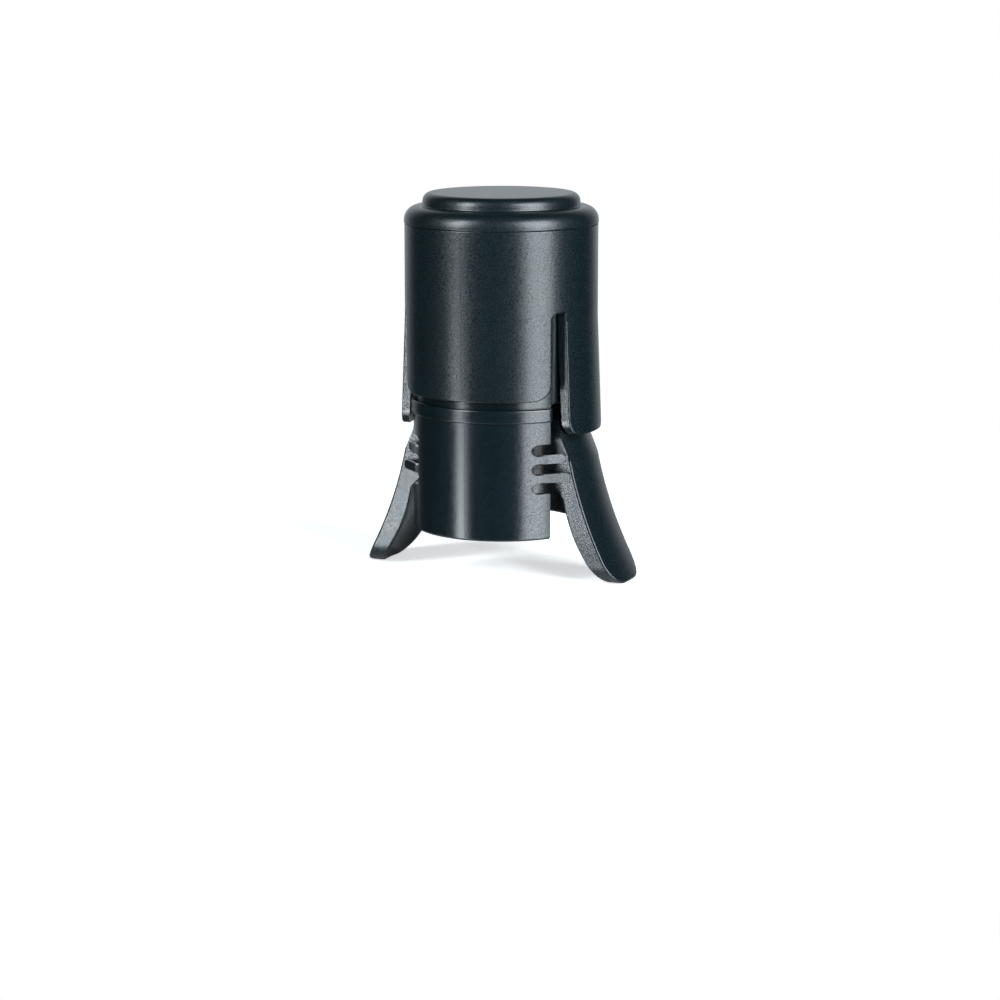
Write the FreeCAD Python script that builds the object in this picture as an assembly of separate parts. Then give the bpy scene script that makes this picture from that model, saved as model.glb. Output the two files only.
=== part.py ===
import FreeCAD, Part
import math
import os

os.makedirs("parts", exist_ok=True)

# Champagne stopper: a collar with two squeeze levers grips under the ring of the bottle's neck, and a
# sprung seal closes the mouth. A sleeve with a press cap slides on the collar's guide tube.
# Millimetres. The levers open along X, the bottle's axis is Z, and z = 0 is the plane of the lever feet.

# The bottle's neck
BOTTLE_RING_RADIUS = 17.3
BOTTLE_RING_GAP = 1.45
HOOK_TO_MOUTH = 17.5

# Collar and its guide tube
COLLAR_FOOT_GAP = 10.65
COLLAR_HEIGHT = 27.4
COLLAR_WALL = 2.0
COLLAR_EDGE = 0.6
BORE_LENGTH = 10.0
BORE_RELIEF = 0.3
RIM_HEIGHT = 3.25
RIM_STEP = 0.55
RIM_EDGE = 0.5
GUIDE_WALL = 1.1
GUIDE_ABOVE_PARTITION = 5.5
GUIDE_EDGE = 0.4
GUIDE_END_GAP = 3.8
PARTITION = 2.5
LEVER_BAY_HALF_WIDTH = 11.3
RIM_BAY_HALF_WIDTH = 10.5
RIM_BAY_CORNER = 0.6
RIM_END_ROUND = 0.9
RIM_END_ANGLE = 5.0
BAY_TOP_GAP = 0.8
RIB_COUNT = 3
RIB_PITCH = 24.0
RIB_WIDTH = 1.2
RIB_DEPTH = 1.1
RIB_LENGTH = 16.0

# Hinge webs between the collar and the levers
HINGE_DROP = 10.85
WEB_WINDOW_HEIGHT = 2.75
WEB_HEIGHT = 1.65
WEB_THICKNESS = 1.7
WEB_ROOT = 1.2
WEB_ROOT_SET = 0.1
WEB_END_GAP = 0.1
WEB_END_SET = 0.7
WEB_BAR_HEIGHT = 2.05
WEB_BAR_ROUND = 0.9
WEB_WINDOW_ANGLE = 46.6

# Levers
LEVER_HALF_WIDTH = 8.48
LEVER_OUTER_SWEEP = 95.0
LEVER_OUTER_RISE = 21.5
LEVER_INNER_SWEEP = 36.0
LEVER_INNER_DROP = 2.7
LEVER_INNER_SET = 0.25
LEVER_INNER_LEAN = 31.0
LEVER_SHOULDER_LEAN = 6.5
LEVER_SHOULDER_RISE = 2.3
LEVER_CORNER = 5.5
LEVER_EDGE = 0.5
LEVER_SWING = 5.5
LEVER_SWING_GAP = 0.35
LEVER_RELIEF = 5.0
LEVER_BORE_GAP = 0.1
HOOK_RISE = 9.2
HOOK_GRIP = 0.75
HOOK_HEIGHT = 1.3
HOOK_SLOPE = 0.4
HOOK_LEAD = 3.0
HOOK_BACK = 0.6
LEVER_TOP_WALL = 1.7
LEVER_TOP_RISE = 1.7

# Sleeve and its flaps
SLIDE_GAP = 0.35
SLEEVE_WALL = 2.0
SLEEVE_EDGE = 0.4
SEAM_EDGE = 0.2
PRESS_GAP = 1.9
PRESS_TRAVEL = 1.0
SKIRT_CORNER = 3.7
SLOT_TOP_DROP = 19.0
SLOT_WIDTH = 3.2
FLAP_HALF_WIDTH = 9.45
FLAP_REACH = 8.7
FLAP_FLARE = 1.0
FLAP_WALL = 1.8
FLAP_EDGE = 0.35
FLAP_CORNER = 3.7
FLAP_ROOT_DROP = 0.2

# Key that keeps the sleeve in line with the levers and stops it from lifting off
KEY_WIDTH = 5.0
KEY_HEIGHT = 3.0
KEY_DEPTH = 0.95
KEY_DROP = 1.0
KEY_GAP = 0.25

# Press cap
CAP_OVERHANG = 0.1
SHOULDER_HEIGHT = 4.1
SHOULDER_ROUND = 3.3
KNOB_RADIUS = 18.4
KNOB_DRAFT = 0.25
KNOB_HEIGHT = 3.0
KNOB_ROUND = 2.0
CAP_TOP_WALL = 2.2
CAP_HOLLOW_ROUND = 1.0
CAP_SPIGOT_LENGTH = 5.0
CAP_SPIGOT_WALL = 1.6
CAP_SPIGOT_GAP = 0.1
SNAP_BEAD = 0.35
SNAP_BEAD_HEIGHT = 1.2

# Seal, its carrier and the clip
SEAL_RADIUS = 15.5
SEAL_THICKNESS = 3.5
SEAL_PLUG_RADIUS = 8.6
SEAL_PLUG_LENGTH = 5.0
SEAL_PLUG_TAPER = 0.8
SEAL_EDGE = 0.6
SEAL_PRELOAD = 2.5
SEAL_BUTTON_RADIUS = 5.0
SEAL_BUTTON_HEIGHT = 1.2
SEAL_NECK_RADIUS = 3.2
SEAL_NECK_LENGTH = 1.2
SEAL_FIT_GAP = 0.05
FLANGE_RADIUS = 14.0
FLANGE_THICKNESS = 2.0
STEM_RADIUS = 3.0
STEM_FIT_GAP = 0.08
STEM_TOP_LENGTH = 1.2
STEM_BOSS_WALL = 2.0
STEM_BOSS_LENGTH = 4.0
CLIP_GROOVE_DEPTH = 0.6
CLIP_RADIUS = 5.6
CLIP_THICKNESS = 0.8
CLIP_GAP = 0.1
CLIP_PLAY = 0.05
CLIP_MOUTH = 3.6

# Springs
SEAL_SPRING_RADIUS = 8.4
SEAL_SPRING_WIRE = 0.9
SEAL_SPRING_HEIGHT = 7.3
SEAL_SPRING_TURNS = 3
PRESS_SPRING_GAP = 1.2
PRESS_SPRING_WIRE = 1.2
PRESS_SPRING_TURNS = 5
WIRE_SIDES = 8
SPRING_SEAT_GAP = 0.3
SPRING_SEAT_WALL = 0.8
SPRING_SEAT_HEIGHT = 1.4
SPRING_END_GAP = 0.05

# Radii that follow from the bottle's ring outwards
collar_inner = BOTTLE_RING_RADIUS + BOTTLE_RING_GAP
collar_relief = collar_inner + BORE_RELIEF
collar_outer = collar_inner + COLLAR_WALL
rim_outer = collar_outer + RIM_STEP
guide_outer = collar_relief + GUIDE_WALL
sleeve_inner = guide_outer + SLIDE_GAP
sleeve_outer = sleeve_inner + SLEEVE_WALL
hollow_radius = KNOB_RADIUS - CAP_TOP_WALL
press_spring_radius = hollow_radius - PRESS_SPRING_GAP - PRESS_SPRING_WIRE / 2

# Levels from the lever feet upwards
rim_low = COLLAR_FOOT_GAP + COLLAR_HEIGHT
rim_high = rim_low + RIM_HEIGHT
hinge_level = rim_low - HINGE_DROP
hook_level = hinge_level + HOOK_RISE
lever_top = hook_level + LEVER_TOP_RISE
bay_top = rim_high + BAY_TOP_GAP
skirt_low = rim_high + PRESS_GAP
flap_low = skirt_low - FLAP_REACH
seal_low = hook_level + HOOK_TO_MOUTH - SEAL_PRELOAD
seal_top = seal_low + SEAL_THICKNESS
flange_top = seal_top + FLANGE_THICKNESS
partition_low = flange_top + SEAL_SPRING_HEIGHT
partition_top = partition_low + PARTITION
guide_top = partition_top + GUIDE_ABOVE_PARTITION
spigot_low = guide_top + PRESS_TRAVEL + GUIDE_END_GAP
seam_level = spigot_low + CAP_SPIGOT_LENGTH
slot_top = seam_level - SLOT_TOP_DROP
flap_root = slot_top - SLOT_WIDTH / 2 - FLAP_ROOT_DROP
shoulder_top = seam_level + SHOULDER_HEIGHT
knob_top = shoulder_top + KNOB_HEIGHT
cap_ceiling = knob_top - CAP_TOP_WALL
relief_high = flap_low - PRESS_TRAVEL
relief_low = relief_high - LEVER_RELIEF
key_high = guide_top - KEY_DROP
key_low = key_high - KEY_HEIGHT
bead_middle = seam_level - CAP_SPIGOT_LENGTH / 2
button_high = seal_top - SEAL_NECK_LENGTH
button_low = button_high - SEAL_BUTTON_HEIGHT
clip_low = partition_top + CLIP_GAP
clip_high = clip_low + CLIP_THICKNESS
web_pitch = WEB_WINDOW_HEIGHT + WEB_HEIGHT
stem_bore = STEM_RADIUS + STEM_FIT_GAP

FAR = 2 * sleeve_outer
SAME = 0.01


def vec(x, y, z):
    return FreeCAD.Vector(x, y, z)


def rounded_outline(corners, place):
    """Closed face through corners (a, b, radius), each rounded by its radius; place maps (a, b) to 3-D."""
    count = len(corners)
    edges = []
    ends = []
    for i, (a, b, radius) in enumerate(corners):
        here = vec(a, b, 0)
        before = vec(corners[i - 1][0], corners[i - 1][1], 0) - here
        after = vec(corners[(i + 1) % count][0], corners[(i + 1) % count][1], 0) - here
        before.normalize()
        after.normalize()
        if radius == 0:
            ends.append((here, here, here))
            continue
        half = before.getAngle(after) / 2
        reach = radius / math.tan(half)
        middle = before + after
        middle.normalize()
        via = here + middle * (radius / math.sin(half) - radius)
        ends.append((here + before * reach, via, here + after * reach))
    for i, (start, via, end) in enumerate(ends):
        if (end - start).Length > 0:
            bend = [place(point.x, point.y) for point in (start, via, end)]
            edges.append(Part.Arc(*bend).toShape())
        following = ends[(i + 1) % count][0]
        if (following - end).Length > 1e-6:
            edges.append(Part.makeLine(place(end.x, end.y), place(following.x, following.y)))
    return Part.Face(Part.Wire(edges))


def turned(corners):
    """Solid of revolution about Z from corners (radius, height, rounding)."""
    profile = rounded_outline(corners, lambda r, z: vec(0, r, z))
    return profile.revolve(vec(0, 0, 0), vec(0, 0, 1), 360)


def tube(outer, inner, low, high):
    return turned([(inner, low, 0), (outer, low, 0), (outer, high, 0), (inner, high, 0)])


def side_prism(corners, start, length):
    """Prism along X whose outline is given in (y, z, rounding)."""
    face = rounded_outline(corners, lambda y, z: vec(start, y, z))
    return face.extrude(vec(length, 0, 0))


def side_slab(half_width, low, high, low_round=0, high_round=0):
    """Slab on the lever's side of the part, |y| under half_width, with rounded corners."""
    return side_prism([(-half_width, low, low_round), (half_width, low, low_round),
                       (half_width, high, high_round), (-half_width, high, high_round)], 0, FAR)


def soften(shape, radius, chosen):
    """Rounds the chosen edges."""
    return shape.makeFillet(radius, [edge for edge in shape.Edges if chosen(edge)])


def on_radius(edge, radius):
    """True where the whole edge lies at one distance from the bottle's axis."""
    return all(abs(math.hypot(point.x, point.y) - radius) < SAME for point in edge.discretize(5))


def opposite(shape):
    """Copy turned half round the bottle's axis."""
    other = shape.copy()
    other.rotate(vec(0, 0, 0), vec(0, 0, 1), 180)
    return other


def both_sides(shape):
    return shape.fuse(opposite(shape))


def coil(radius, wire, low, high, turns):
    """Compression spring between two levels, its end coils lying on them."""
    pitch = (high - low - wire) / turns
    path = Part.makeHelix(pitch, high - low - wire, radius)
    turns_of_section = [2 * math.pi * i / WIRE_SIDES for i in range(WIRE_SIDES + 1)]
    section = Part.makePolygon([vec(radius + wire / 2 * math.cos(t), 0, wire / 2 * math.sin(t))
                                for t in turns_of_section])
    spring = Part.Wire(path).makePipeShell([section], True, True)
    spring.translate(vec(0, 0, low + wire / 2))
    return spring


def flap_inner(level):
    """Inner radius of the flared flap at a level of the sleeve."""
    spread = FLAP_FLARE + SLEEVE_WALL - FLAP_WALL
    return sleeve_inner + spread * (flap_root - level) / (flap_root - flap_low)


def lever_outer(level):
    """Radius of the lever's outer face: a large arc, and above it a stretch that dips behind the flap."""
    if level > relief_low:
        dip = lever_clear(relief_high) - lever_outer(relief_low)
        return lever_outer(relief_low) + dip * (level - relief_low) / LEVER_RELIEF
    upright = math.sqrt(collar_outer ** 2 - LEVER_HALF_WIDTH ** 2)
    drop = hinge_level + LEVER_OUTER_RISE - level
    front = upright + LEVER_OUTER_SWEEP - math.sqrt(LEVER_OUTER_SWEEP ** 2 - drop ** 2)
    return math.hypot(front, LEVER_HALF_WIDTH)


def lever_front(level):
    """Distance x of the lever's front edges, where its outer face meets its sides."""
    return math.sqrt(lever_outer(level) ** 2 - LEVER_HALF_WIDTH ** 2)


def lever_inner(lean):
    """Point (radius, height) on the arc of the lever's inner face where it leans so many degrees."""
    turn = math.radians(lean)
    radius = collar_outer - LEVER_INNER_SET + LEVER_INNER_SWEEP * (1 - math.cos(turn))
    return vec(radius, 0, hinge_level - LEVER_INNER_DROP - LEVER_INNER_SWEEP * math.sin(turn))


def lever_clear(level):
    """Outer radius at which the swung lever still clears the pressed flap."""
    swing = (level - hinge_level) * math.sin(math.radians(LEVER_SWING))
    return flap_inner(level + PRESS_TRAVEL) - swing - LEVER_SWING_GAP


def arc_through(start, via, end):
    return Part.Arc(start, via, end).toShape()


def make_lever():
    """Lever on the +X side: flared foot, hinge stretch beside the webs, and the hook."""
    bore = collar_inner + LEVER_BORE_GAP
    hook_tip = BOTTLE_RING_RADIUS - HOOK_GRIP
    hook_low = hook_level - HOOK_HEIGHT
    inner_high = lever_inner(LEVER_SHOULDER_LEAN)
    inner_middle = lever_inner((LEVER_SHOULDER_LEAN + LEVER_INNER_LEAN) / 2)
    inner_low = lever_inner(LEVER_INNER_LEAN)
    foot_inner = vec(inner_low.x + inner_low.z * math.tan(math.radians(LEVER_INNER_LEAN)), 0, 0)
    foot_outer = vec(lever_outer(0), 0, 0)
    outer_high = vec(lever_outer(relief_low), 0, relief_low)
    outer_middle = vec(lever_outer(relief_low / 2), 0, relief_low / 2)
    upper = [
        outer_high,
        vec(lever_clear(relief_high), 0, relief_high),
        vec(lever_clear(lever_top), 0, lever_top),
        vec(lever_clear(lever_top) - LEVER_TOP_WALL, 0, lever_top),
        vec(BOTTLE_RING_RADIUS + HOOK_BACK, 0, hook_level),
        vec(hook_tip, 0, hook_level - HOOK_SLOPE),
        vec(hook_tip, 0, hook_low),
        vec(bore, 0, hook_low - HOOK_LEAD),
        vec(bore, 0, inner_high.z + LEVER_SHOULDER_RISE),
        inner_high,
    ]
    edges = [Part.makeLine(upper[i], upper[i + 1]) for i in range(len(upper) - 1)]
    edges.append(arc_through(inner_high, inner_middle, inner_low))
    edges.append(Part.makeLine(inner_low, foot_inner))
    edges.append(Part.makeLine(foot_inner, foot_outer))
    edges.append(arc_through(foot_outer, outer_middle, outer_high))
    profile = Part.Face(Part.Wire(edges))
    profile.rotate(vec(0, 0, 0), vec(0, 0, 1), -90)
    ring = profile.revolve(vec(0, 0, 0), vec(0, 0, 1), 180)
    lever = ring.common(side_slab(LEVER_HALF_WIDTH, 0, lever_top + 1, LEVER_CORNER, 0))
    return soften(lever, LEVER_EDGE, handle_edge)


def handle_edge(edge):
    """True for the long edges of the lever's lower part and of its foot."""
    box = edge.BoundBox
    inner_high = lever_inner(LEVER_SHOULDER_LEAN).z + SAME
    inner = box.ZMax < inner_high
    outer = box.ZMin < LEVER_CORNER + 1 and box.ZMax < relief_high + SAME
    upright = box.ZLength > SAME and (inner or outer)
    foot = box.ZMax < SAME and box.YLength > box.XLength
    return upright or foot


def make_webs():
    """Torsion webs: bars that run on from the collar's wall across the slits to the levers' sides."""
    half = WEB_BAR_HEIGHT / 2
    wall_side = LEVER_BAY_HALF_WIDTH + WEB_ROOT
    lever_side = LEVER_HALF_WIDTH + WEB_END_GAP
    root = math.sqrt((collar_outer - WEB_ROOT_SET) ** 2 - wall_side ** 2)
    webs = []
    for level in (hinge_level - web_pitch / 2, hinge_level + web_pitch / 2):
        front = lever_front(level) - WEB_END_SET
        plan = [(root, wall_side, 0), (front, lever_side, 0),
                (front - WEB_THICKNESS, lever_side, 0), (root - WEB_THICKNESS / 2, wall_side, 0)]
        web = rounded_outline(plan, lambda x, y: vec(x, y, level - half)).extrude(vec(0, 0, 2 * half))
        bar = [(0, level - half, 0), (front, level - half, WEB_BAR_ROUND),
               (front, level + half, WEB_BAR_ROUND), (0, level + half, 0)]
        web = web.common(rounded_outline(bar, lambda x, z: vec(x, 0, z)).extrude(vec(0, FAR, 0)))
        webs.append(web)
        webs.append(web.mirror(vec(0, 0, 0), vec(0, 1, 0)))
    return both_sides(webs[0].fuse(webs[1:]))


def make_collar():
    """Lower ring, rim, guide tube and partition, turned, with bays for the levers cut in both sides."""
    boss_low = partition_low - STEM_BOSS_LENGTH
    boss_outer = stem_bore + STEM_BOSS_WALL
    bore_top = COLLAR_FOOT_GAP + BORE_LENGTH
    collar = turned([
        (collar_inner, COLLAR_FOOT_GAP, COLLAR_EDGE), (collar_outer, COLLAR_FOOT_GAP, COLLAR_EDGE),
        (collar_outer, rim_low, 0), (rim_outer, rim_low, RIM_EDGE), (rim_outer, rim_high, RIM_EDGE),
        (guide_outer, rim_high, 0), (guide_outer, guide_top, GUIDE_EDGE), (collar_relief, guide_top, 0),
        (collar_relief, partition_top, 0), (stem_bore, partition_top, 0), (stem_bore, boss_low, 0),
        (boss_outer, boss_low, 0), (boss_outer, partition_low, 0), (collar_relief, partition_low, 0),
        (collar_relief, bore_top, 0), (collar_inner, bore_top, 0)])
    bay = side_slab(LEVER_BAY_HALF_WIDTH, COLLAR_FOOT_GAP - 1, rim_low)
    bay = bay.fuse([side_slab(RIM_BAY_HALF_WIDTH, rim_low - 1, bay_top, 0, RIM_BAY_CORNER), rim_mouth()])
    window_end = collar_outer * math.sin(math.radians(WEB_WINDOW_ANGLE))
    half = WEB_WINDOW_HEIGHT / 2
    for step in (-1, 0, 1):
        level = hinge_level + step * web_pitch
        bay = bay.fuse(side_slab(window_end, level - half, level + half, 0.99 * half, 0.99 * half))
    collar = collar.cut(both_sides(bay))
    seat = press_spring_radius - PRESS_SPRING_WIRE / 2 - SPRING_SEAT_GAP
    ring = tube(seat, seat - SPRING_SEAT_WALL, partition_top, partition_top + SPRING_SEAT_HEIGHT)
    return collar.fuse([make_webs(), ring, make_keys(0, 0, 0), make_ribs()])


def rim_mouth():
    """Cutter in plan between the two ends of the rim, which rounds their outer corners."""
    half = RIM_BAY_HALF_WIDTH
    corner = math.asin(half / rim_outer)
    turn = corner + math.radians(RIM_END_ANGLE)
    near = (rim_outer * math.cos(corner), half)
    far = (rim_outer * math.cos(turn), rim_outer * math.sin(turn))
    plan = [(0, -half, 0), (near[0], -near[1], RIM_END_ROUND),
            (far[0], -far[1], 0), (FAR, -far[1], 0), (FAR, far[1], 0), (far[0], far[1], 0),
            (near[0], near[1], RIM_END_ROUND), (0, half, 0)]
    mouth = rounded_outline(plan, lambda x, y: vec(x, y, rim_low))
    return mouth.extrude(vec(0, 0, RIM_HEIGHT))


def make_keys(side_gap, end_gap, travel):
    """Block on each side of the guide tube, or with gaps the keyway that it slides in."""
    width = KEY_WIDTH + 2 * side_gap
    low = key_low - end_gap
    high = key_high + end_gap + travel
    block = Part.makeBox(width, FAR, high - low, vec(-width / 2, 0, low))
    shell = tube(guide_outer + KEY_DEPTH + side_gap, guide_outer - GUIDE_WALL / 2, low, high)
    return both_sides(block.common(shell))


def make_ribs():
    """Low ribs inside the guide tube that keep the bottle's ring in the middle."""
    ribs = []
    for i in range(RIB_COUNT):
        rib = Part.makeBox(RIB_WIDTH, RIB_DEPTH + GUIDE_WALL / 2, RIB_LENGTH,
                           vec(-RIB_WIDTH / 2, collar_relief - RIB_DEPTH, bay_top))
        rib.rotate(vec(0, 0, 0), vec(0, 0, 1), RIB_PITCH * (i - (RIB_COUNT - 1) / 2))
        ribs.append(both_sides(rib))
    return ribs[0].fuse(ribs[1:])


def make_sleeve():
    """Sleeve with a deep opening at each lever, closed by a flared flap between two slots."""
    sleeve = turned([(sleeve_inner, skirt_low, 0), (sleeve_outer, skirt_low, 0),
                     (sleeve_outer, seam_level, SEAM_EDGE), (sleeve_inner, seam_level, 0)])
    edge = FLAP_HALF_WIDTH + SLOT_WIDTH
    wide = edge + SKIRT_CORNER + 1
    top_round = 0.49 * SLOT_WIDTH
    opening = side_prism([(-wide, skirt_low - 1, 0), (wide, skirt_low - 1, 0), (wide, skirt_low, 0),
                          (edge, skirt_low, SKIRT_CORNER), (edge, slot_top, top_round),
                          (-edge, slot_top, top_round), (-edge, skirt_low, SKIRT_CORNER),
                          (-wide, skirt_low, 0)], 0, FAR)
    sleeve = soften(sleeve.cut(both_sides(opening)), SLEEVE_EDGE, opening_edge)
    root = tube(sleeve_outer, sleeve_inner, flap_root, slot_top + 2 * SLEEVE_EDGE)
    root = root.common(side_slab(FLAP_HALF_WIDTH, flap_root, slot_top + 2 * SLEEVE_EDGE))
    sleeve = sleeve.fuse([both_sides(root), both_sides(make_flap())])
    groove = make_bead(CAP_SPIGOT_GAP)
    return sleeve.cut([groove, make_keys(KEY_GAP, KEY_GAP, PRESS_TRAVEL)]).removeSplitter()


def opening_edge(edge):
    """True for the outer edges along the skirt and round the openings."""
    return on_radius(edge, sleeve_outer) and edge.BoundBox.ZMax < slot_top + SAME


def make_flap():
    """Tongue of the sleeve that flares out over the lever, with softened edges and lower corners."""
    flare = turned([(sleeve_inner, flap_root, 0), (flap_inner(flap_low), flap_low, 0),
                    (sleeve_outer + FLAP_FLARE, flap_low, 0), (sleeve_outer, flap_root, 0)])
    flap = flare.common(side_slab(FLAP_HALF_WIDTH, flap_low, flap_root, FLAP_CORNER, 0))
    return soften(flap, FLAP_EDGE, flap_edge)


def flap_edge(edge):
    """True for the edges round the flap's outer face, apart from its root."""
    point = edge.CenterOfMass
    outside = math.hypot(point.x, point.y) > flap_inner(point.z) + 0.75 * SLEEVE_WALL
    return outside and edge.BoundBox.ZMin < flap_root - SAME


def make_bead(gap):
    """Snap bead round the cap's spigot, or with a gap the groove that it snaps into."""
    half = SNAP_BEAD_HEIGHT / 2 + gap
    root = sleeve_inner - CAP_SPIGOT_WALL / 2
    top = sleeve_inner + SNAP_BEAD
    return turned([(root, bead_middle - half, 0), (sleeve_inner - CAP_SPIGOT_GAP, bead_middle - half, 0),
                   (top + gap, bead_middle - gap, 0), (top + gap, bead_middle + gap + SAME, 0),
                   (sleeve_inner - CAP_SPIGOT_GAP, bead_middle + half, 0), (root, bead_middle + half, 0)])


def make_top_cap():
    """Domed shoulder and raised press face over a hollow, with a spigot that snaps into the sleeve."""
    outer = sleeve_outer + CAP_OVERHANG
    spigot_outer = sleeve_inner - CAP_SPIGOT_GAP
    spigot_inner = spigot_outer - CAP_SPIGOT_WALL
    ledge = shoulder_top - CAP_TOP_WALL
    cap = turned([
        (outer, seam_level, SLEEVE_EDGE), (outer, shoulder_top, SHOULDER_ROUND),
        (KNOB_RADIUS, shoulder_top, SLEEVE_EDGE), (KNOB_RADIUS - KNOB_DRAFT, knob_top, KNOB_ROUND),
        (0, knob_top, 0), (0, cap_ceiling, 0), (hollow_radius, cap_ceiling, CAP_HOLLOW_ROUND),
        (hollow_radius, ledge, 0),
        (spigot_inner, ledge, 0), (spigot_inner, spigot_low, 0),
        (spigot_outer, spigot_low, SLEEVE_EDGE), (spigot_outer, seam_level, 0)])
    seat = press_spring_radius - PRESS_SPRING_WIRE / 2 - SPRING_SEAT_GAP
    ring = tube(seat, seat - SPRING_SEAT_WALL, cap_ceiling - SPRING_SEAT_HEIGHT, cap_ceiling)
    return cap.fuse([ring, make_bead(0)])


def make_seal_carrier():
    """Flange with a button that holds the seal below, and the stem that runs in the partition above."""
    groove = STEM_RADIUS - CLIP_GROOVE_DEPTH
    stem_top = clip_high + STEM_TOP_LENGTH
    return turned([
        (0, button_low, 0), (SEAL_BUTTON_RADIUS, button_low, 0), (SEAL_BUTTON_RADIUS, button_high, 0),
        (SEAL_NECK_RADIUS, button_high, 0), (SEAL_NECK_RADIUS, seal_top, 0), (FLANGE_RADIUS, seal_top, 0),
        (FLANGE_RADIUS, flange_top, SLEEVE_EDGE), (STEM_RADIUS, flange_top, 0),
        (STEM_RADIUS, clip_low - CLIP_PLAY, 0), (groove, clip_low - CLIP_PLAY, 0),
        (groove, clip_high + CLIP_PLAY, 0), (STEM_RADIUS, clip_high + CLIP_PLAY, 0),
        (STEM_RADIUS, stem_top, SLEEVE_EDGE), (0, stem_top, 0)])


def make_mouth_seal():
    """Rubber disc with a tapered plug, moulded over the carrier's button."""
    plug_low = seal_low - SEAL_PLUG_LENGTH
    neck = SEAL_NECK_RADIUS + SEAL_FIT_GAP
    button = SEAL_BUTTON_RADIUS + SEAL_FIT_GAP
    return turned([
        (0, plug_low, 0), (SEAL_PLUG_RADIUS - SEAL_PLUG_TAPER, plug_low, SEAL_EDGE),
        (SEAL_PLUG_RADIUS, seal_low, 0), (SEAL_RADIUS, seal_low, SEAL_EDGE),
        (SEAL_RADIUS, seal_top, SEAL_EDGE),
        (neck, seal_top, 0), (neck, button_high + SEAL_FIT_GAP, 0), (button, button_high + SEAL_FIT_GAP, 0),
        (button, button_low - SEAL_FIT_GAP, 0), (0, button_low - SEAL_FIT_GAP, 0)])


def make_retaining_clip():
    """Snap ring in the stem's groove, open on one side."""
    ring = tube(CLIP_RADIUS, STEM_RADIUS - CLIP_GROOVE_DEPTH + CLIP_PLAY, clip_low, clip_high)
    mouth = Part.makeBox(FAR, CLIP_MOUTH, FAR, vec(0, -CLIP_MOUTH / 2, 0))
    return ring.cut(mouth)


def make_seal_spring():
    return coil(SEAL_SPRING_RADIUS, SEAL_SPRING_WIRE, flange_top + SPRING_END_GAP,
                partition_low - SPRING_END_GAP, SEAL_SPRING_TURNS)


def make_press_spring():
    return coil(press_spring_radius, PRESS_SPRING_WIRE, partition_top + SPRING_END_GAP,
                cap_ceiling - SPRING_END_GAP, PRESS_SPRING_TURNS)


lever = make_lever()
parts = {
    "collar": make_collar(),
    "lever_right": lever,
    "lever_left": opposite(lever),
    "sleeve": make_sleeve(),
    "top_cap": make_top_cap(),
    "seal_carrier": make_seal_carrier(),
    "mouth_seal": make_mouth_seal(),
    "retaining_clip": make_retaining_clip(),
    "seal_spring": make_seal_spring(),
    "press_spring": make_press_spring(),
}
for name, shape in parts.items():
    shape.exportStep("parts/" + name + ".step")
    print(name, len(shape.Solids), shape.isValid(), round(shape.Volume, 1))
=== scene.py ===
import math

import bmesh
import bpy
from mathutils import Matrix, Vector

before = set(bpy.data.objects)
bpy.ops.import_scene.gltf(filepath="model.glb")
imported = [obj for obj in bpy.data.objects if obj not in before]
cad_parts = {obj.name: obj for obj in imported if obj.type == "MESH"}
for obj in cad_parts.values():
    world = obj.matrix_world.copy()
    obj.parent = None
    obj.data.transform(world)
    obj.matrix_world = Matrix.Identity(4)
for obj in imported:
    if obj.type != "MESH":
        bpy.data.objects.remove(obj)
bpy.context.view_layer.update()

MM = 0.001

# Camera: a little above the stopper and turned from the front towards the right lever
CAMERA_AZIMUTH = math.radians(24.16)
CAMERA_DISTANCE = 636.7 * MM
CAMERA_HEIGHT = 145.1 * MM
CAMERA_TILT = math.radians(11.43)
CAMERA_ASIDE = -0.32 * MM
CAMERA_LENS = 98.85
CAMERA_SENSOR = 36
CAMERA_CLIP = 0.01

# Black moulding. Colours are sRGB, here and below
ABS_BLACK = "#030f13"
ABS_RUBBED = "#071418"
ABS_IOR = 1.54
DRIFT_MM = 9.0
GRAIN_MM = 0.3
GRAIN_DETAIL = 2.0
GRAIN_ROUGHNESS = 0.65
MOULD_LINE_MM = 0.14
# Roughness goes up and down by GLOSS_SPREAD, and the specular level runs over SPARKLE, as the grain's noise
# goes through these ranges
GLOSS_GRAIN = (0.3, 0.7)
GLOSS_SPREAD = 0.04
SPARKLE_GRAIN = (0.36, 0.64)
SPARKLE = (0.33, 0.67)
# Sides of the levers and flaps: further out than SIDE_REACH_MM, with the normal's Y in this range
SIDE_REACH_MM = 12.0
SIDE_FACING = (0.96, 0.999)
SIDE_GLOSS = -0.07
SIDE_SPARKLE = 1.8
# Roughness, and depth in mm of the grain, of the grain on the sides and of the mould line
MOULDINGS = {
    "moulded_abs_sleeve": (0.29, 0.02, 0.05, 0.012),
    "moulded_abs_cap": (0.33, 0.02, 0.02, 0.0),
    "moulded_abs_collar": (0.23, 0.01, 0.01, 0.007),
    "moulded_abs_levers": (0.3, 0.02, 0.05, 0.0),
}

RUBBER_BLACK = "#17191a"
RUBBER_IOR = 1.5
RUBBER_GLOSS = (0.55, 0.75)
BLOOM_MM = 3
BLOOM_DEPTH_MM = 0.02
BLOOM_STRENGTH = 0.6
STEEL = "#9a9c9e"
STEEL_GLOSS = (0.22, 0.4)
STEEL_MARKS_MM = 0.6

FINISH_OF_NODE = {
    "collar": "moulded_abs_collar",
    "sleeve": "moulded_abs_sleeve",
    "top_cap": "moulded_abs_cap",
    "seal_carrier": "moulded_abs_collar",
    "lever_right": "moulded_abs_levers",
    "lever_left": "moulded_abs_levers",
    "mouth_seal": "seal_rubber",
    "retaining_clip": "drawn_steel",
    "seal_spring": "drawn_steel",
    "press_spring": "drawn_steel",
}

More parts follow.
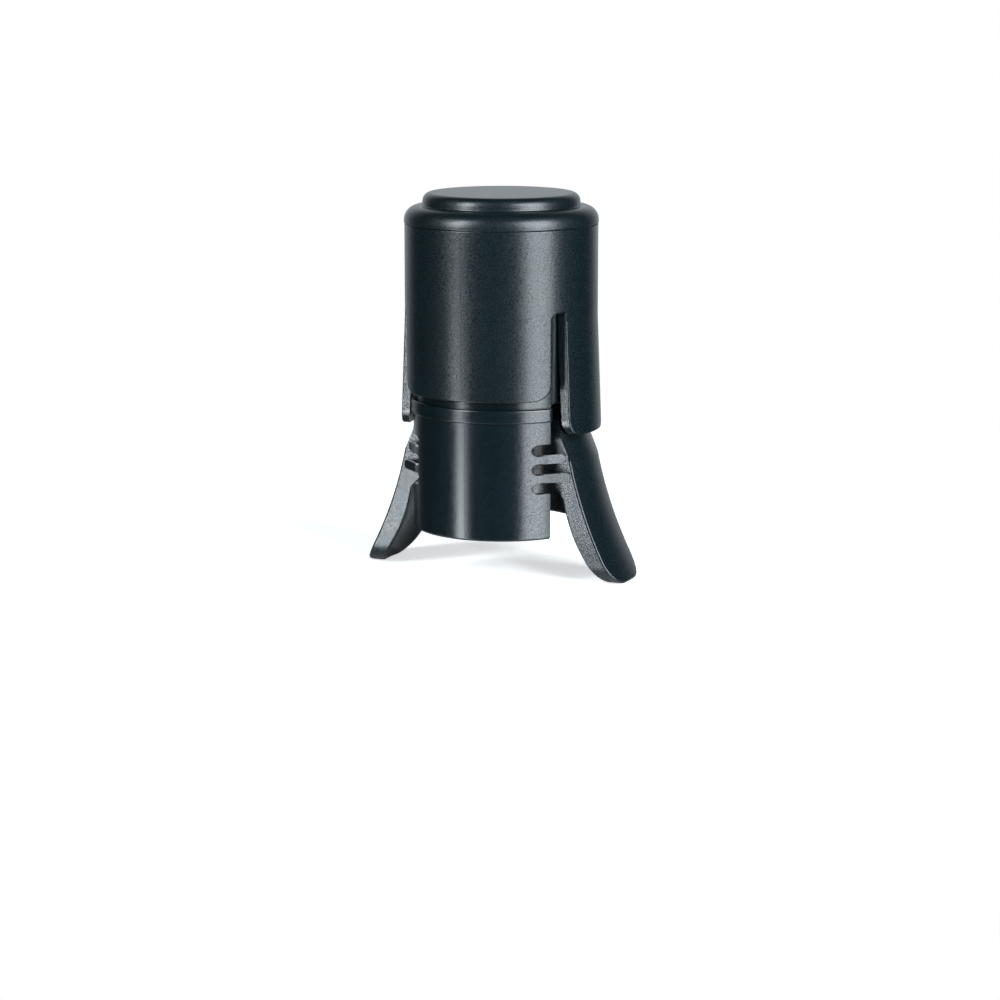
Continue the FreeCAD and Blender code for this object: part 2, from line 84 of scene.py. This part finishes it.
# Studio, in metres and watts
FLOOR_PALE = "#f2f2f0"
FLOOR_SHEEN = "#d8d8d8"
SHEEN_ROUGHNESS = 0.12
FLOOR_GLOW = 0.55
FLOOR_HALF = 0.6
FLOOR_DROP = 0.02 * MM
# The floor turns white for the camera from the first distance to the second, and up to these distances it
# shows the moulding more of its paint than of its sheen
FLOOR_FAR = (0.09, 0.26)
FLOOR_UNDER = (0.03, 0.05)
UNDER_SHARE = 0.7
WHITE = (1.0, 1.0, 1.0, 1.0)
LAMP_COLOUR = (0.86, 0.94, 1.0)
LAMP_DISTANCE = 0.75
LAMP_AIM = Vector((0, 0, 0.05))
# Degrees to the right of the camera's own bearing, low edge, high edge, width, power
SOFTBOXES = {
    "right_softbox": (45, 0.0, 0.7, 0.5, 14.0),
    "left_softbox": (-53.5, 0.09, 0.7, 0.17, 7.6),
}
# Cosine of the angle from straight behind the object, where the backdrop begins and where it is full
BACKDROP = (0.57, 1.0)
STUDIO_DIM = 0.012


def linear(hex_colour):
    """sRGB hex to the linear colour that the shaders take."""
    channels = [int(hex_colour[i:i + 2], 16) / 255 for i in (1, 3, 5)]
    return [c / 12.92 if c <= 0.04045 else ((c + 0.055) / 1.055) ** 2.4 for c in channels] + [1.0]


def add_node(tree, kind, settings=(), **inputs):
    """Node of one kind with its settings. An input goes by its name, or by its number after an underscore,
    and is a value or the socket that feeds it."""
    node = tree.nodes.new(kind)
    for name, value in dict(settings).items():
        setattr(node, name, value)
    for name, value in inputs.items():
        socket = node.inputs[int(name[1:])] if name[1:].isdigit() else node.inputs[name.replace("_", " ")]
        if isinstance(value, bpy.types.NodeSocket):
            tree.links.new(value, socket)
        else:
            socket.default_value = value
    return node


def maths(tree, operation, *values):
    """Result of a Math node."""
    numbered = {f"_{i}": value for i, value in enumerate(values)}
    return add_node(tree, "ShaderNodeMath", {"operation": operation}, **numbered).outputs[0]


def smooth_span(tree, value, low, high, source=(0.0, 1.0)):
    """From low to high in a soft step, as the value goes through the source range."""
    return add_node(tree, "ShaderNodeMapRange", {"interpolation_type": "SMOOTHSTEP"}, Value=value,
                    From_Min=source[0], From_Max=source[1], To_Min=low, To_Max=high).outputs["Result"]


def blend(tree, factor, first, second):
    """Colour between two, given as linear colours."""
    mixed = add_node(tree, "ShaderNodeMix", {"data_type": "RGBA"}, Factor=factor, _6=first, _7=second)
    return mixed.outputs[2]


def noise(tree, place, size_mm, **inputs):
    """Noise with features of one size."""
    scale = 1 / (size_mm * MM)
    return add_node(tree, "ShaderNodeTexNoise", Vector=place, Scale=scale, **inputs).outputs["Fac"]


def new_material(name):
    """Material with an empty node tree, and the object's own coordinates in it."""
    material = bpy.data.materials.new(name)
    material.use_nodes = True
    tree = material.node_tree
    tree.nodes.clear()
    return material, tree, add_node(tree, "ShaderNodeTexCoord").outputs["Object"]


def moulded_abs(name, roughness, grain_depth_mm, side_depth_mm, line_depth_mm):
    """Injection moulded ABS, near black and cool: a fine spark eroded grain breaks its highlights up into
    sparkles. The sides of the levers and flaps are coarser and catch more light, and a faint line marks
    where the two halves of the mould met, front and back.
    The real grain is finer than a pixel, so it is drawn as coarse as it needs to show."""
    material, tree, place = new_material(name)
    normal = add_node(tree, "ShaderNodeNewGeometry").outputs["True Normal"]
    facing = maths(tree, "ABSOLUTE", add_node(tree, "ShaderNodeSeparateXYZ", Vector=normal).outputs["Y"])
    aside = maths(tree, "ABSOLUTE", add_node(tree, "ShaderNodeSeparateXYZ", Vector=place).outputs["X"])
    side = maths(tree, "MULTIPLY", smooth_span(tree, facing, 0.0, 1.0, SIDE_FACING),
                 maths(tree, "GREATER_THAN", aside, SIDE_REACH_MM * MM))
    grain = noise(tree, place, GRAIN_MM, Detail=GRAIN_DETAIL, Roughness=GRAIN_ROUGHNESS)
    line = add_node(tree, "ShaderNodeBump", Distance=line_depth_mm * MM, Strength=1.0,
                    Height=smooth_span(tree, aside, 1.0, 0.0, (0.0, MOULD_LINE_MM * MM)))
    bump = add_node(tree, "ShaderNodeBump", Height=grain, Normal=line.outputs["Normal"], Strength=1.0,
                    Distance=smooth_span(tree, side, grain_depth_mm * MM, side_depth_mm * MM))
    tone = blend(tree, noise(tree, place, DRIFT_MM, Detail=3.0), linear(ABS_BLACK), linear(ABS_RUBBED))
    gloss = maths(tree, "ADD", smooth_span(tree, side, 0.0, SIDE_GLOSS),
                  smooth_span(tree, grain, roughness - GLOSS_SPREAD, roughness + GLOSS_SPREAD, GLOSS_GRAIN))
    sparkle = maths(tree, "MULTIPLY", smooth_span(tree, grain, *SPARKLE, SPARKLE_GRAIN),
                    smooth_span(tree, side, 1.0, SIDE_SPARKLE))
    shader = add_node(tree, "ShaderNodeBsdfPrincipled", Base_Color=tone, Roughness=gloss,
                      Normal=bump.outputs["Normal"], IOR=ABS_IOR, Specular_IOR_Level=sparkle)
    add_node(tree, "ShaderNodeOutputMaterial", Surface=shader.outputs[0])
    return material


def seal_rubber():
    """Moulded silicone rubber: dull black with a faint bloom."""
    material, tree, place = new_material("seal_rubber")
    bloom = noise(tree, place, BLOOM_MM, Detail=4.0)
    gloss = add_node(tree, "ShaderNodeMapRange", Value=bloom, To_Min=RUBBER_GLOSS[0], To_Max=RUBBER_GLOSS[1])
    bump = add_node(tree, "ShaderNodeBump", Height=bloom, Distance=BLOOM_DEPTH_MM * MM,
                    Strength=BLOOM_STRENGTH)
    shader = add_node(tree, "ShaderNodeBsdfPrincipled", Base_Color=linear(RUBBER_BLACK), IOR=RUBBER_IOR,
                      Roughness=gloss.outputs["Result"], Normal=bump.outputs["Normal"])
    add_node(tree, "ShaderNodeOutputMaterial", Surface=shader.outputs[0])
    return material


def drawn_steel():
    """Spring wire: drawn stainless steel, duller here and there."""
    material, tree, place = new_material("drawn_steel")
    marks = noise(tree, place, STEEL_MARKS_MM, Detail=3.0)
    gloss = add_node(tree, "ShaderNodeMapRange", Value=marks, To_Min=STEEL_GLOSS[0], To_Max=STEEL_GLOSS[1])
    shader = add_node(tree, "ShaderNodeBsdfPrincipled", Base_Color=linear(STEEL), Metallic=1.0,
                      Roughness=gloss.outputs["Result"])
    add_node(tree, "ShaderNodeOutputMaterial", Surface=shader.outputs[0])
    return material


def pale_floor():
    """Pale acrylic sheet: the camera sees it white with the object's shadow, and far out it runs into the
    white of the backdrop. For the moulding's highlights it carries the mirror images of the soft boxes and
    the backdrop on downwards."""
    material, tree, place = new_material("pale_floor")
    sheen = add_node(tree, "ShaderNodeBsdfGlossy", Color=linear(FLOOR_SHEEN), Roughness=SHEEN_ROUGHNESS)
    paint = add_node(tree, "ShaderNodeBsdfDiffuse", Color=linear(FLOOR_PALE))
    glow = add_node(tree, "ShaderNodeEmission", Color=WHITE, Strength=FLOOR_GLOW)
    white = add_node(tree, "ShaderNodeEmission", Color=WHITE, Strength=1.0)
    reach = add_node(tree, "ShaderNodeVectorMath", {"operation": "LENGTH"}, _0=place).outputs["Value"]
    near = add_node(tree, "ShaderNodeAddShader", _0=paint.outputs[0], _1=glow.outputs[0])
    seen = add_node(tree, "ShaderNodeMixShader", Fac=smooth_span(tree, reach, 0.0, 1.0, FLOOR_FAR),
                    _1=near.outputs[0], _2=white.outputs[0])
    mirrored = add_node(tree, "ShaderNodeMixShader", _1=sheen.outputs[0], _2=paint.outputs[0],
                        Fac=smooth_span(tree, reach, UNDER_SHARE, 0.0, FLOOR_UNDER))
    mixed = add_node(tree, "ShaderNodeMixShader", _1=mirrored.outputs[0], _2=seen.outputs[0],
                     Fac=add_node(tree, "ShaderNodeLightPath").outputs["Is Camera Ray"])
    add_node(tree, "ShaderNodeOutputMaterial", Surface=mixed.outputs[0])
    return material


def make_floor():
    mesh = bpy.data.meshes.new("floor")
    shape = bmesh.new()
    bmesh.ops.create_grid(shape, x_segments=1, y_segments=1, size=FLOOR_HALF)
    bmesh.ops.translate(shape, verts=shape.verts, vec=(0, 0, -FLOOR_DROP))
    shape.to_mesh(mesh)
    shape.free()
    floor = bpy.data.objects.new("floor", mesh)
    bpy.context.collection.objects.link(floor)
    mesh.materials.append(pale_floor())


def bearing(angle_from_camera):
    """Unit vector on the floor plane, so many degrees to the right of the camera's own bearing."""
    turn = CAMERA_AZIMUTH + math.radians(angle_from_camera)
    return Vector((math.sin(turn), -math.cos(turn), 0))


def add_softbox(name, angle, low, high, width, power):
    """Upright soft box that faces the object."""
    lamp = bpy.data.lights.new(name, "AREA")
    lamp.shape = "RECTANGLE"
    lamp.size = width
    lamp.size_y = high - low
    lamp.energy = power
    lamp.color = LAMP_COLOUR
    holder = bpy.data.objects.new(name, lamp)
    bpy.context.collection.objects.link(holder)
    spot = bearing(angle) * LAMP_DISTANCE + Vector((0, 0, (low + high) / 2))
    holder.location = spot
    holder.rotation_euler = (LAMP_AIM - spot).to_track_quat("-Z", "Y").to_euler()


def make_world():
    """White surroundings behind the object, darker on the side of the camera, as in a studio. The camera
    itself sees plain white everywhere."""
    world = bpy.data.worlds.new("studio")
    bpy.context.scene.world = world
    world.use_nodes = True
    tree = world.node_tree
    tree.nodes.clear()
    seen = add_node(tree, "ShaderNodeLightPath").outputs["Is Camera Ray"]
    place = add_node(tree, "ShaderNodeTexCoord").outputs["Generated"]
    behind = add_node(tree, "ShaderNodeVectorMath", {"operation": "DOT_PRODUCT"}, _0=place,
                      _1=tuple(-bearing(0))).outputs["Value"]
    level = maths(tree, "MAXIMUM", smooth_span(tree, behind, STUDIO_DIM, 1.0, BACKDROP), seen)
    glow = add_node(tree, "ShaderNodeBackground", Strength=level,
                    Color=blend(tree, seen, (*LAMP_COLOUR, 1.0), WHITE))
    add_node(tree, "ShaderNodeOutputWorld", Surface=glow.outputs[0])


def make_camera():
    lens = bpy.data.cameras.new("camera")
    lens.lens = CAMERA_LENS
    lens.sensor_width = CAMERA_SENSOR
    lens.clip_start = CAMERA_CLIP
    camera = bpy.data.objects.new("camera", lens)
    bpy.context.collection.objects.link(camera)
    right = Vector((math.cos(CAMERA_AZIMUTH), math.sin(CAMERA_AZIMUTH), 0))
    camera.location = bearing(0) * CAMERA_DISTANCE + right * CAMERA_ASIDE + Vector((0, 0, CAMERA_HEIGHT))
    camera.rotation_euler = (math.pi / 2 - CAMERA_TILT, 0, CAMERA_AZIMUTH)
    bpy.context.scene.camera = camera


def dress_nodes():
    """Each CAD node gets its finish."""
    finishes = {name: moulded_abs(name, *values) for name, values in MOULDINGS.items()}
    finishes["seal_rubber"] = seal_rubber()
    finishes["drawn_steel"] = drawn_steel()
    for node, finish in FINISH_OF_NODE.items():
        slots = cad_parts[node].data.materials
        slots.clear()
        slots.append(finishes[finish])


make_camera()
make_world()
for softbox, measures in SOFTBOXES.items():
    add_softbox(softbox, *measures)
make_floor()
dress_nodes()
bpy.context.scene.view_settings.view_transform = "Standard"
